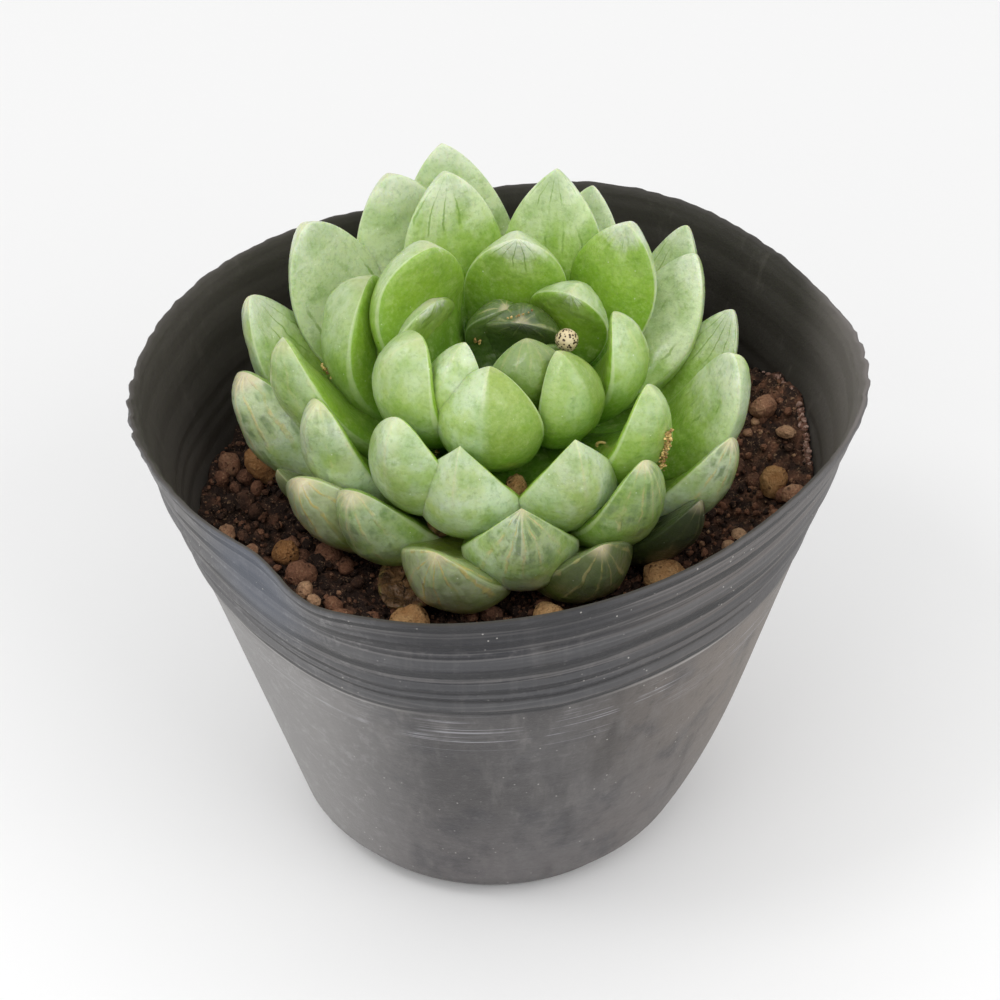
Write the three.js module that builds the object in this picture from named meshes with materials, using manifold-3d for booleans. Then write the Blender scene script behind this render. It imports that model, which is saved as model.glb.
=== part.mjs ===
// A haworthia in its soft nursery pot: a thin-walled ribbed pot, the potting soil in it with loose
// baked-clay granules, the plant's short stem, one node for every leaf, and a fertiliser prill.
// Millimetres, +Z up, the photographer's side is -Y. Azimuths are degrees from +X, seen from above.

import * as THREE from "three";
import { mergeVertices } from "three/addons/utils/BufferGeometryUtils.js";
import Module from "manifold-3d";

const wasm = await Module();
wasm.setup();

// ---------------------------------------------------------------- driving dimensions

const ORIGIN = new THREE.Vector3(-0.1, 1.2, 0);   // centres the soft rim's outline over the origin

const POT = {
  height: 66.5,
  rimRadius: 45,
  taper: 0.275,            // radius lost per millimetre of height below the rim
  wall: 0.8,
  cornerRadius: 4,         // rounded edge between wall and base
  footWidth: 3,            // flat ring that the pot stands on
  recess: 1.3,             // height of the raised middle of the base
  lip: 0.3,                // how far the rim's edge stands out
  ribDepths: [18.9, 16.4, 14.2, 9.7, 4.3],  // below the rim, lowest first
  ribHeight: 0.35,
  holeRadius: 6,           // drainage hole in the middle
  sideHoles: 4,
  sideHoleRadius: 2.5,
  sideHoleCircle: 14,
};
// The squeezed rim: each wave swells the wall by so many millimetres towards an azimuth.
const RIM_WAVES = [
  { lobes: 1, swell: 0.7, toward: 70 },
  { lobes: 2, swell: 1.9, toward: 19 },
  { lobes: 3, swell: 1.1, toward: 28 },
  { lobes: 4, swell: 1.0, toward: -15 },
  { lobes: 5, swell: 0.3, toward: -9 },
  { lobes: 6, swell: 0.5, toward: 7 },
];
const RIM_SHIFT = new THREE.Vector2(-0.5, -0.9);  // the rim's centre against the middle of the part
const BASE_SHIFT = new THREE.Vector2(-0.7, 0);    // and the base's
// Bumps of the soft rim, and the side where the foot is pressed in. Spreads are degrees to either side.
const RIM_BUMPS = [
  { out: -1.6, toward: -135, spread: 8 },
  { out: 1.0, toward: -120, spread: 7 },
  { out: -0.7, toward: -96, spread: 18 },
];
const BUMP_DEPTH = 9;
const TUCK = { depth: 3.3, toward: -14, spread: 56, top: 30 };

const SOIL = {
  level: 48.2,             // at the wall, on average
  rise: 2.2,               // how much higher it lies on its high side
  riseToward: -15,
  bank: 4.5,               // how far it is heaped up against the wall
  bankToward: 21,
  bankSpread: 11,          // degrees to either side
  dip: 3.5,                // how much lower it lies under the plant
  roughness: 0.5,
};

const PLANT = new THREE.Vector2(1.5, 3.0);        // the stem's axis
const STEM = { top: 62.8, radius: 3.2, crownRadius: 4.4, crown: 47, bottom: 38 };
const LEAF_START = STEM.radius + 0.35;            // the leaves' feet, from the stem's axis
const GAP = 0.35;                                 // between a cut piece and its neighbour

// Leaves by whorl, youngest first. foot is the height at the stem, bow how far the leaf's middle hangs
// below its chord, thick its thickness against its width, base its width at the foot against its widest.
// Each leaf: azimuth, reach of the tip from the stem's axis, height of the tip, width, and where it
// needs them the tip's sideways sweep, the leaf's roll about its own length in degrees, and the power
// that shapes its tip (the lower, the blunter).
const WHORLS = [
  { name: "heart_leaf", foot: 62.5, bow: 2.2, thick: 0.6, base: 0.45, leaves: [
    [106, 6, 71.5, 9.5, -1.5], [-75, 4.5, 75, 10.5, 1], [80, 3.5, 71.5, 10.5, -1], [-10, 4, 69.5, 7, 1.5],
  ] },
  { name: "inner_leaf", foot: 60.5, bow: 4.8, thick: 0.62, base: 0.4, leaves: [
    [-103, 11, 76, 14], [-49, 9, 75, 10.5], [61, 8.5, 74.5, 11.5, -4.5], [-10, 13, 75, 11.5, 3],
    [88, 12, 78.5, 13.5, -1], [163, 10.5, 82.5, 15, -2.5, -42, 0.6], [160, 10, 75, 15, -0.5, -20, 0.55],
    [-161, 12.5, 77.5, 14.5, 3, 0, 0.6], [-128, 9, 77, 10],
  ] },
  { name: "middle_leaf", foot: 58, bow: 6.8, thick: 0.64, base: 0.35, leaves: [
    [-109, 20, 70, 14.5, 0, 0, 1.1], [-68, 21, 71, 13.5, 0, 0, 1], [-38, 22, 75, 11.5, -0.5],
    [41, 30.5, 70.5, 12.8, -2.5], [58, 20, 79, 13, -6], [73, 23, 82, 14, 0, 0, 0.9], [109, 23, 82, 14],
    [168, 19, 76, 17, -3.5, -6, 0.55], [184, 28.5, 74, 13.5, 0, 20, 0.55], [-127, 21, 72, 13, -2, 0, 0.6],
  ] },
  { name: "outer_leaf", foot: 56, bow: 8.4, thick: 0.62, base: 0.3, leaves: [
    [-88, 27, 66.4, 15, 0, 0, 1], [-53, 27, 69, 12, 0, 0, 0.65], [-27, 31, 66, 12, 0, -24, 0.65],
    [-11, 29, 72.5, 12.5, 0, 36, 0.6], [22, 31.6, 66, 11.5, 0, 20], [44, 33, 71.5, 12],
    [69, 31, 74, 12.5, -0.5], [99, 33, 79, 16, 3], [113, 30, 78.5, 16, 3.5, 0, 0.6],
    [130, 30, 77.5, 15.5, 8.5, 0, 0.6], [156, 35, 71, 14.5, 3.5], [176, 34.2, 65.3, 17.5, 0, 50, 0.5],
    [-161, 25.6, 69, 13, 0, 18, 0.5], [-143, 26.2, 61, 14.5, 1, 25, 0.5],
  ] },
  { name: "lowest_leaf", foot: 54.5, bow: 7.6, thick: 0.62, base: 0.3, leaves: [
    [-110, 31.3, 61.8, 15, 1, -10], [-62, 29.5, 60.5, 14, -3.5], [-41, 31, 61, 11.5], [-8, 28, 62, 10],
    [62, 29, 64, 12], [88, 30, 63, 12], [118, 30, 62, 12], [148, 31, 63, 12], [-163, 31.5, 58.5, 9],
    [-153, 30.3, 61, 14, 0, 40, 0.5],
  ] },
  { name: "withered_leaf", foot: 53, bow: 2.5, thick: 0.3, base: 0.35, leaves: [
    [-122, 30.5, 49.5, 12], [-119, 21, 56, 7],
  ] },
];
const LEAF = {
  widest: 0.6,             // where along its length a leaf is widest
  sidesPower: 2.1,         // how long the sides stay full towards the tip
  tipPower: 0.72,          // the usual shape of the tip
  backDepth: 1.25,         // depth of the rounded back and height of the inner face, against thick
  innerHeight: 0.39,
  keelFrom: 0.45,          // from here to the tip the round back sharpens into a keel
  keelPower: 1.25,
  along: 7,
  around: 8,
};

// Loose granules: azimuth and distance from the pot's axis, size, and for the one that lies on the
// leaves its height instead of the soil's.
const GRANULES = [
  { azimuth: 165, distance: 32.5, size: 4.6 },
  { azimuth: -163, distance: 29.5, size: 4 },
  { azimuth: -117, distance: 27, size: 5.2 },
  { azimuth: -77, distance: 25, size: 4.4 },
  { azimuth: -41, distance: 27, size: 4.8 },
  { azimuth: -3, distance: 35.5, size: 4.2 },
  { azimuth: -81, distance: 12.1, size: 3.4, height: 59.4 },
];
const PRILL = { azimuth: -2, distance: 7.4, height: 71.4, radius: 1.5 };

const AROUND_POT = 60;

// ---------------------------------------------------------------- helpers

const radians = THREE.MathUtils.degToRad;

function smoothstep(from, to, value) {
  return THREE.MathUtils.smoothstep(value, from, to);
}

// A closed geometry as a solid: the shared corners are joined and the empty triangles left out.
function solidOf(geometry) {
  geometry.deleteAttribute("normal");
  geometry.deleteAttribute("uv");
  const merged = mergeVertices(geometry);
  const index = merged.getIndex().array;
  const kept = [];
  for (let i = 0; i < index.length; i += 3) {
    const [a, b, c] = [index[i], index[i + 1], index[i + 2]];
    if (a !== b && b !== c && c !== a) kept.push(a, b, c);
  }
  return new wasm.Manifold(new wasm.Mesh({
    numProp: 3,
    vertProperties: Float32Array.from(merged.getAttribute("position").array),
    triVerts: Uint32Array.from(kept),
  }));
}

function geometryOf(solid) {
  const mesh = solid.getMesh();
  const geometry = new THREE.BufferGeometry();
  geometry.setAttribute("position", new THREE.BufferAttribute(mesh.vertProperties, 3));
  geometry.setIndex(new THREE.BufferAttribute(mesh.triVerts, 1));
  return geometry;
}

// The largest body of a solid, for the crumbs that a cut can leave beside it.
function largestBody(solid) {
  const bodies = solid.decompose();
  return bodies.reduce((largest, body) => (body.volume() > largest.volume() ? body : largest));
}

function boxesMeet(a, b) {
  const boxA = a.boundingBox();
  const boxB = b.boundingBox();
  return [0, 1, 2].every((k) => boxA.min[k] < boxB.max[k] && boxB.min[k] < boxA.max[k]);
}

// What is left of a solid beside others, each of them given grown by the gap.
function cutBy(solid, cutters) {
  let left = solid;
  for (const cutter of cutters) {
    if (boxesMeet(left, cutter) && left.intersect(cutter).volume() > 0) {
      left = left.subtract(cutter);
    }
  }
  return left === solid ? solid : largestBody(left);
}

// ---------------------------------------------------------------- pot

function potRadius(height) {
  return POT.rimRadius - POT.taper * (POT.height - height);
}

// 1 at the middle of a bump and less to its sides.
function bell(azimuth, toward, spread) {
  const apart = ((azimuth * 180) / Math.PI - toward + 540) % 360 - 180;
  return Math.exp(-((apart / spread) ** 2));
}

// How far the soft wall stands from a true cone at an azimuth, in radians, and a height.
function wallSwell(azimuth, height) {
  const waves = RIM_WAVES.reduce((sum, wave) => (
    sum + wave.swell * Math.cos(wave.lobes * (azimuth - radians(wave.toward)))), 0);
  const bumps = RIM_BUMPS.reduce((sum, bump) => (
    sum + bump.out * bell(azimuth, bump.toward, bump.spread)), 0);
  const nearRim = Math.max(0, 1 - (POT.height - height) / BUMP_DEPTH);
  const nearFoot = Math.max(0, 1 - height / TUCK.top) ** 3;
  const tuck = TUCK.depth * bell(azimuth, TUCK.toward, TUCK.spread) * nearFoot;
  return waves * (height / POT.height) ** 2 + bumps * nearRim - tuck;
}

// Turns a lathed form, round about Z, into the squeezed form of the pot.
function squeeze(geometry) {
  const position = geometry.getAttribute("position");
  for (let i = 0; i < position.count; i++) {
    const [x, y, z] = [position.getX(i), position.getY(i), position.getZ(i)];
    const scale = 1 + wallSwell(Math.atan2(y, x), z) / potRadius(z);
    const shift = BASE_SHIFT.clone().lerp(RIM_SHIFT, z / POT.height);
    position.setXYZ(i, x * scale + shift.x, y * scale + shift.y, z);
  }
  return geometry;
}

function latheAboutZ(points, segments) {
  return new THREE.LatheGeometry(points, segments).rotateX(Math.PI / 2);
}

function potProfile() {
  const { height, wall, cornerRadius, footWidth, recess, lip, ribDepths, ribHeight } = POT;
  const point = (radius, z) => new THREE.Vector2(radius, z);
  const footOuter = potRadius(0) - cornerRadius * 0.8;
  const footInner = footOuter - footWidth;
  const floorTop = recess + wall;
  const profile = [point(0, recess), point(footInner - 1.5, recess), point(footInner, 0), point(footOuter, 0)];
  for (const turn of [30, 60]) {
    const out = cornerRadius * 0.8 * Math.sin(radians(turn));
    profile.push(point(footOuter + out, cornerRadius * (1 - Math.cos(radians(turn)))));
  }
  const crests = ribDepths.map((depth) => height - depth);
  const ribsFoot = crests[0] - 1.2;
  for (const z of [cornerRadius, ribsFoot / 3, (ribsFoot * 2) / 3, ribsFoot]) {
    profile.push(point(potRadius(z), z));
  }
  crests.forEach((z, rib) => {
    const groove = (z + (crests[rib + 1] ?? height - 1)) / 2;
    profile.push(point(potRadius(z) + ribHeight, z));
    profile.push(point(potRadius(groove), groove));
  });
  profile.push(point(potRadius(height) + lip, height - 0.5));
  profile.push(point(potRadius(height) + lip * 0.5, height));
  profile.push(point(potRadius(height) - wall * 0.5, height));
  for (const z of [height - 0.6, ribsFoot, ribsFoot / 2, cornerRadius]) {
    profile.push(point(potRadius(z) - wall, z));
  }
  profile.push(point(footOuter, wall), point(footInner + 0.4, wall), point(footInner - 1.2, floorTop));
  profile.push(point(0, floorTop));
  return profile;
}

function drainHoles() {
  const hole = (radius, x, y) => {
    const cylinder = new THREE.CylinderGeometry(radius, radius, 8, 16).rotateX(Math.PI / 2);
    return solidOf(cylinder.translate(x + BASE_SHIFT.x, y + BASE_SHIFT.y, POT.recess));
  };
  const holes = [hole(POT.holeRadius, 0, 0)];
  for (let i = 0; i < POT.sideHoles; i++) {
    const azimuth = ((i + 0.5) / POT.sideHoles) * 2 * Math.PI;
    const [x, y] = [Math.cos(azimuth) * POT.sideHoleCircle, Math.sin(azimuth) * POT.sideHoleCircle];
    holes.push(hole(POT.sideHoleRadius, x, y));
  }
  return holes;
}

function potSolid() {
  const body = solidOf(squeeze(latheAboutZ(potProfile(), AROUND_POT)));
  return drainHoles().reduce((pot, hole) => pot.subtract(hole), body);
}

// ---------------------------------------------------------------- soil and stem

function soilHeight(x, y) {
  const distance = Math.hypot(x, y) / potRadius(SOIL.level);
  const azimuth = Math.atan2(y, x);
  const towardHigh = distance * Math.cos(azimuth - radians(SOIL.riseToward));
  const besideBank = (azimuth - radians(SOIL.bankToward)) / radians(SOIL.bankSpread);
  const bank = SOIL.bank * Math.exp(-(besideBank ** 2)) * distance ** 4;
  const crumbs = Math.sin(0.9 * x + 0.4 * y) + Math.sin(0.5 * x - 1.1 * y + 2);
  const dip = SOIL.dip * (1 - distance ** 2);
  return SOIL.level + SOIL.rise * towardHigh + bank - dip + SOIL.roughness * 0.5 * crumbs;
}

function soilSolid() {
  const side = (z) => new THREE.Vector2(potRadius(z) - POT.wall - GAP, z);
  const bottom = POT.recess + POT.wall + GAP;
  const floorRadius = potRadius(0) - POT.cornerRadius - POT.footWidth;
  const profile = [new THREE.Vector2(0, bottom), new THREE.Vector2(floorRadius, bottom)];
  profile.push(side(POT.cornerRadius + 2), side(SOIL.level / 2), side(SOIL.level));
  for (const share of [0.86, 0.7, 0.5, 0.25, 0]) {
    profile.push(new THREE.Vector2(side(SOIL.level).x * share, SOIL.level));
  }
  const geometry = latheAboutZ(profile, AROUND_POT);
  const position = geometry.getAttribute("position");
  for (let i = 0; i < position.count; i++) {
    if (position.getZ(i) < SOIL.level - 1e-3) continue;
    const height = soilHeight(position.getX(i), position.getY(i));
    const reach = Math.hypot(position.getX(i), position.getY(i)) / side(SOIL.level).x;
    const scale = reach > 0.99 ? side(height).x / side(SOIL.level).x : 1;
    position.setXYZ(i, position.getX(i) * scale, position.getY(i) * scale, height);
  }
  return solidOf(squeeze(geometry));
}

function stemSolid(grown) {
  const { top, radius, crownRadius, crown, bottom } = STEM;
  const profile = [[0, bottom - grown], [crownRadius * 0.45 + grown, bottom + 1.5], [crownRadius + grown, crown],
    [radius + grown, crown + 5], [radius + grown, top - 3], [radius * 0.5 + grown, top - 0.7],
    [0, top + grown]];
  const points = profile.map(([r, z]) => new THREE.Vector2(r, z));
  return solidOf(latheAboutZ(points, 16).translate(PLANT.x, PLANT.y, 0));
}

// ---------------------------------------------------------------- leaves

// Half the leaf's width at t along it, against half its widest.
function leafWidth(t, base, tipPower) {
  if (t < LEAF.widest) return base + (1 - base) * Math.sin((Math.PI / 2) * (t / LEAF.widest));
  const towardTip = (t - LEAF.widest) / (1 - LEAF.widest);
  return (1 - towardTip ** LEAF.sidesPower) ** tipPower;
}

// The leaf's curved middle line, and the level direction across it.
function leafLine(whorl, [azimuth, reach, tip, , sweep = 0]) {
  const out = new THREE.Vector3(Math.cos(radians(azimuth)), Math.sin(radians(azimuth)), 0);
  const side = new THREE.Vector3(-out.y, out.x, 0);
  const axis = new THREE.Vector3(PLANT.x, PLANT.y, 0);
  const foot = axis.clone().addScaledVector(out, LEAF_START).setZ(whorl.foot);
  const end = axis.clone().addScaledVector(out, reach).addScaledVector(side, sweep).setZ(tip);
  const chord = end.clone().sub(foot);
  const inward = new THREE.Vector3().crossVectors(chord, side).normalize();
  const middle = foot.clone().add(end).multiplyScalar(0.5).addScaledVector(inward, -2 * whorl.bow);
  return { curve: new THREE.QuadraticBezierCurve3(foot, middle, end), side };
}

function leafSolid(whorl, leaf, grown) {
  const [, , , width, , roll = 0, tipPower = LEAF.tipPower] = leaf;
  const { curve, side } = leafLine(whorl, leaf);
  const geometry = new THREE.SphereGeometry(1, LEAF.around, LEAF.along);
  const position = geometry.getAttribute("position");
  const uv = geometry.getAttribute("uv");
  for (let i = 0; i < position.count; i++) {
    const t = 1 - Math.sin((Math.PI / 2) * uv.getY(i)) ** 1.15;
    const turn = -2 * Math.PI * uv.getX(i);
    const along = curve.getTangent(t);
    const across = side.clone().addScaledVector(along, -side.dot(along)).normalize();
    const up = new THREE.Vector3().crossVectors(along, across);
    const lean = radians(roll) * smoothstep(0, 1, t);
    const rolledAcross = across.clone().multiplyScalar(Math.cos(lean)).addScaledVector(up, Math.sin(lean));
    const rolledUp = up.clone().multiplyScalar(Math.cos(lean)).addScaledVector(across, -Math.sin(lean));
    const share = leafWidth(t, whorl.base, tipPower);
    const depth = (width / 2) * share ** 0.8 * whorl.thick;
    const x = Math.cos(turn);
    const y = Math.sin(turn);
    const keel = smoothstep(LEAF.keelFrom, 1, t);
    const round = Math.abs(y);
    const keeled = 1 - Math.abs(x) ** (2 - (2 - LEAF.keelPower) * keel);
    const back = LEAF.backDepth * depth * (round * (1 - keel) + keeled * keel);
    const inner = LEAF.innerHeight * depth * y;
    const atEnd = uv.getY(i) === 0 || uv.getY(i) === 1;
    const point = curve.getPoint(t);
    if (atEnd) {
      point.addScaledVector(along, t > 0.5 ? 1.5 * grown : -grown);
    } else {
      point.addScaledVector(rolledAcross, x * ((width / 2) * share + grown));
      point.addScaledVector(rolledUp, (y > 0 ? inner : -back) + y * grown);
    }
    position.setXYZ(i, point.x, point.y, point.z);
  }
  return solidOf(geometry);
}

// ---------------------------------------------------------------- granules and prill

// A knobbly lump, the same each time for the same number.
function lumpGeometry(size, number) {
  const geometry = new THREE.IcosahedronGeometry(size / 2, 1);
  const position = geometry.getAttribute("position");
  for (let i = 0; i < position.count; i++) {
    const [x, y, z] = [position.getX(i), position.getY(i), position.getZ(i)];
    const knobs = Math.sin(1.7 * x + number) + Math.sin(1.9 * y + 2 * number) + Math.sin(2.1 * z);
    const scale = 0.92 + 0.07 * knobs;
    position.setXYZ(i, x * scale * 1.08, y * scale, z * scale * 0.85);
  }
  return geometry;
}

function placeOnSoil(lump, { azimuth, distance, size, height }) {
  const x = Math.cos(radians(azimuth)) * distance;
  const y = Math.sin(radians(azimuth)) * distance;
  const z = height === undefined ? soilHeight(x, y) + size * 0.28 : height;
  return lump.translate(x, y, z);
}

// ---------------------------------------------------------------- assembly

const FINISHES = {
  pot: { color: 0x3c3d42, roughness: 0.6, metalness: 0 },
  soil: { color: 0x3a2519, roughness: 1, metalness: 0 },
  stem: { color: 0x6c6a3a, roughness: 0.8, metalness: 0 },
  heart_leaf: { color: 0x5f8f3c, roughness: 0.4, metalness: 0 },
  inner_leaf: { color: 0x8fbf52, roughness: 0.4, metalness: 0 },
  middle_leaf: { color: 0x93c35a, roughness: 0.4, metalness: 0 },
  outer_leaf: { color: 0x8db868, roughness: 0.45, metalness: 0 },
  lowest_leaf: { color: 0x5f7f4a, roughness: 0.5, metalness: 0 },
  withered_leaf: { color: 0x6f5a3c, roughness: 0.85, metalness: 0 },
  granule: { color: 0xb07a4a, roughness: 0.95, metalness: 0 },
  prill: { color: 0xdcd2a8, roughness: 0.5, metalness: 0 },
};

const group = new THREE.Group();
group.position.copy(ORIGIN);

function addPiece(name, solid, finish) {
  const mesh = new THREE.Mesh(geometryOf(solid), new THREE.MeshStandardMaterial(FINISHES[finish]));
  mesh.name = name;
  group.add(mesh);
}

// From the stem outwards each piece is cut back by the ones inside it.
const cutters = [stemSolid(GAP)];
addPiece("stem", stemSolid(0), "stem");
for (const whorl of WHORLS) {
  whorl.leaves.forEach((leaf, i) => {
    const name = `${whorl.name}_${String(i + 1).padStart(2, "0")}`;
    addPiece(name, cutBy(leafSolid(whorl, leaf, 0), cutters), whorl.name);
    cutters.push(leafSolid(whorl, leaf, GAP));
  });
}

const prillPlace = new THREE.Vector3(PRILL.distance, 0, PRILL.height)
  .applyAxisAngle(new THREE.Vector3(0, 0, 1), radians(PRILL.azimuth))
  .add(new THREE.Vector3(PLANT.x, PLANT.y, 0));
const prill = new THREE.SphereGeometry(PRILL.radius, 12, 8).translate(...prillPlace);
addPiece("fertiliser_prill", cutBy(solidOf(prill), cutters), "prill");

GRANULES.forEach((granule, i) => {
  const lump = (size) => solidOf(placeOnSoil(lumpGeometry(size, i + 1), granule));
  addPiece(`clay_granule_${i + 1}`, cutBy(lump(granule.size), cutters), "granule");
  cutters.push(lump(granule.size + 2 * GAP));
});

addPiece("potting_soil", cutBy(soilSolid(), cutters), "soil");
addPiece("nursery_pot", potSolid(), "pot");

export default group;
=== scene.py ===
"""A haworthia in its soft ribbed nursery pot, seen from the photographer's side.

The pot, the soil and every leaf follow the CAD part's own dimensions, in finer meshes. Lengths are
millimetres in the part's local frame until add_piece() turns them into metres in the shared frame.
Azimuths are degrees from +X, seen from above. The photographer stands on the -Y side.
"""

import math

import bmesh
import bpy
import numpy as np
from mathutils import Matrix, Vector


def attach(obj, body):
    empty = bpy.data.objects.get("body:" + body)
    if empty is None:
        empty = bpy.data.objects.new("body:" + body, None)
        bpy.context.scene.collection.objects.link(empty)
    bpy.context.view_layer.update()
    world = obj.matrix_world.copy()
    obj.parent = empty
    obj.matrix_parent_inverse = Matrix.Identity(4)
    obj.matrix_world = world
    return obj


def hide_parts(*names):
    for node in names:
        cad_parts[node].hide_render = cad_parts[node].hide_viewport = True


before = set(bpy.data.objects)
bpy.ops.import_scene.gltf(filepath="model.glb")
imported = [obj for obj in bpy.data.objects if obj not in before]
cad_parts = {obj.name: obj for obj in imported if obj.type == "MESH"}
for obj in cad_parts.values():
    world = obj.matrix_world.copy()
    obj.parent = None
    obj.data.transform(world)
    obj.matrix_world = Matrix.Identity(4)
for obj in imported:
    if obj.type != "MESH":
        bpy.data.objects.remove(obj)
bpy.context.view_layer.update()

MM = 0.001
ORIGIN = np.array((-0.1, 1.2, 0.0))  # the part's own origin in the shared frame

# ---------------- dimensions, as in the CAD part

HEIGHT = 66.5
RIM_RADIUS = 45.0
TAPER = 0.275
WALL = 0.8
CORNER = 4.0  # height of the rounded corner at the foot
CORNER_PULL = 0.8  # how far that corner draws in, against its height
FOOT_WIDTH = 3.0
RECESS = 1.3
MIDDLE_HOLE = 6.2
# Lobes round the rim, how far they stand out, and the azimuth of the first one.
RIM_WAVES = ((1, 0.7, 70), (2, 1.9, 19), (3, 1.1, 28), (4, 1.0, -15), (5, 0.3, -9), (6, 0.5, 7))
RIM_SHIFT = (-0.5, -0.9)
BASE_SHIFT = (-0.7, 0.0)
TUCK, TUCK_TOWARD, TUCK_SPREAD, TUCK_TOP = 3.3, -14, 56, 30
# How far the rim is pushed out, at which azimuth and how widely. The first one is the dent.
RIM_DENTS = ((-1.6, -135, 8), (1.0, -120, 7), (-0.7, -96, 18))
# Depth below the rim of each moulded rib, how far it stands out, and its half-height.
RIBS = (
    (1.0, 0.28, 0.9), (4.3, 0.24, 1.2), (9.7, 0.45, 1.7), (14.3, 0.4, 0.8), (16.2, 0.3, 0.6),
    (18.9, 0.36, 0.8),
)
RIB_BAND = 21
FINE_RIB, FINE_RIB_DEPTH = 1.35, 0.02

SOIL_LEVEL = 48.2
SOIL_RISE, SOIL_RISE_TOWARD = 2.2, -15
SOIL_BANK, SOIL_BANK_TOWARD, SOIL_BANK_SPREAD = 4.5, 21, 11
SOIL_DIP = 3.5
SOIL_GAP = 0.1  # from the wall's inner side
CRUMBS_FROM = 0.25  # the bare middle under the plant, against the whole
CRUMBS_REACH = 38

PLANT = np.array((1.5, 3.0, 0.0))
LEAF_START = 3.55
STEM_PROFILE = ((0, 38), (2, 39.5), (4.4, 47), (3.2, 52), (3.2, 59.8), (1.6, 62.1), (0, 62.8))

# Per whorl: foot height, bow, thickness against width, width at the foot against the widest, and the
# leaves: azimuth, reach, tip height, width, then sideways sweep, roll and the tip's power where needed.
WHORLS = (
    ("heart_leaf", 62.5, 2.2, 0.6, 0.45, (
        (106, 6, 71.5, 9.5, -1.5), (-75, 4.5, 75, 10.5, 1), (80, 3.5, 71.5, 10.5, -1), (-10, 4, 69.5, 7, 1.5),
    )),
    ("inner_leaf", 60.5, 4.8, 0.62, 0.4, (
        (-103, 11, 76, 14), (-49, 9, 75, 10.5), (61, 8.5, 74.5, 11.5, -4.5), (-10, 13, 75, 11.5, 3),
        (88, 12, 78.5, 13.5, -1), (163, 10.5, 82.5, 15, -2.5, -42, 0.6), (160, 10, 75, 15, -0.5, -20, 0.55),
        (-161, 12.5, 77.5, 14.5, 3, 0, 0.6), (-128, 9, 77, 10),
    )),
    ("middle_leaf", 58, 6.8, 0.64, 0.35, (
        (-109, 20, 70, 14.5, 0, 0, 1.1), (-68, 21, 71, 13.5, 0, 0, 1), (-38, 22, 75, 11.5, -0.5),
        (41, 30.5, 70.5, 12.8, -2.5), (58, 20, 79, 13, -6), (73, 23, 82, 14, 0, 0, 0.9), (109, 23, 82, 14),
        (168, 19, 76, 17, -3.5, -6, 0.55), (184, 28.5, 74, 13.5, 0, 20, 0.55), (-127, 21, 72, 13, -2, 0, 0.6),
    )),
    ("outer_leaf", 56, 8.4, 0.62, 0.3, (
        (-88, 27, 66.4, 15, 0, 0, 1), (-53, 27, 69, 12, 0, 0, 0.65), (-27, 31, 66, 12, 0, -24, 0.65),
        (-11, 29, 72.5, 12.5, 0, 36, 0.6),
        (22, 31.6, 66, 11.5, 0, 20), (44, 33, 71.5, 12), (69, 31, 74, 12.5, -0.5), (99, 33, 79, 16, 3),
        (113, 30, 78.5, 16, 3.5, 0, 0.6), (130, 30, 77.5, 15.5, 8.5, 0, 0.6), (156, 35, 71, 14.5, 3.5),
        (176, 34.2, 65.3, 17.5, 0, 50, 0.5), (-161, 25.6, 69, 13, 0, 18, 0.5),
        (-143, 26.2, 61, 14.5, 1, 25, 0.5),
    )),
    ("lowest_leaf", 54.5, 7.6, 0.62, 0.3, (
        (-110, 31.3, 61.8, 15, 1, -10), (-62, 29.5, 60.5, 14, -3.5), (-41, 31, 61, 11.5), (-8, 28, 62, 10),
        (62, 29, 64, 12), (88, 30, 63, 12), (118, 30, 62, 12), (148, 31, 63, 12),
        (-163, 31.5, 58.5, 9), (-153, 30.3, 61, 14, 0, 40, 0.5),
    )),
    ("withered_leaf", 53, 2.5, 0.3, 0.35, (
        (-122, 30.5, 49.5, 12), (-119, 21, 56, 7),
    )),
)
USUAL = (0, 0, 0.72)  # sweep, roll and tip's power of a leaf that names none
WIDEST = 0.6  # where along the leaf it is widest
BACK_DEPTH = 1.25
INNER_HEIGHT = 0.39
KEEL_START = 0.45  # where along the leaf the back turns into a keel
KEEL_BLUNT = 0.12  # how far its crest is rounded off, against the half-width

# Azimuth, distance and size. The last granule lies on the leaves.
GRANULES = (
    (165, 32.5, 4.6), (-163, 29.5, 4), (-117, 27, 5.2), (-77, 25, 4.4), (-41, 27, 4.8), (-3, 35.5, 4.2),
    (-81, 12.1, 3.4),
)
GRANULE_TONES = (0.52, 0.4, 0.6, 0.66, 0.62, 0.58, 0.6)
GRANULE_ON_LEAVES = 59.4
PRILL_AZIMUTH, PRILL_DISTANCE, PRILL_HEIGHT, PRILL_RADIUS = -2, 7.4, 71.4, 1.5

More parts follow.
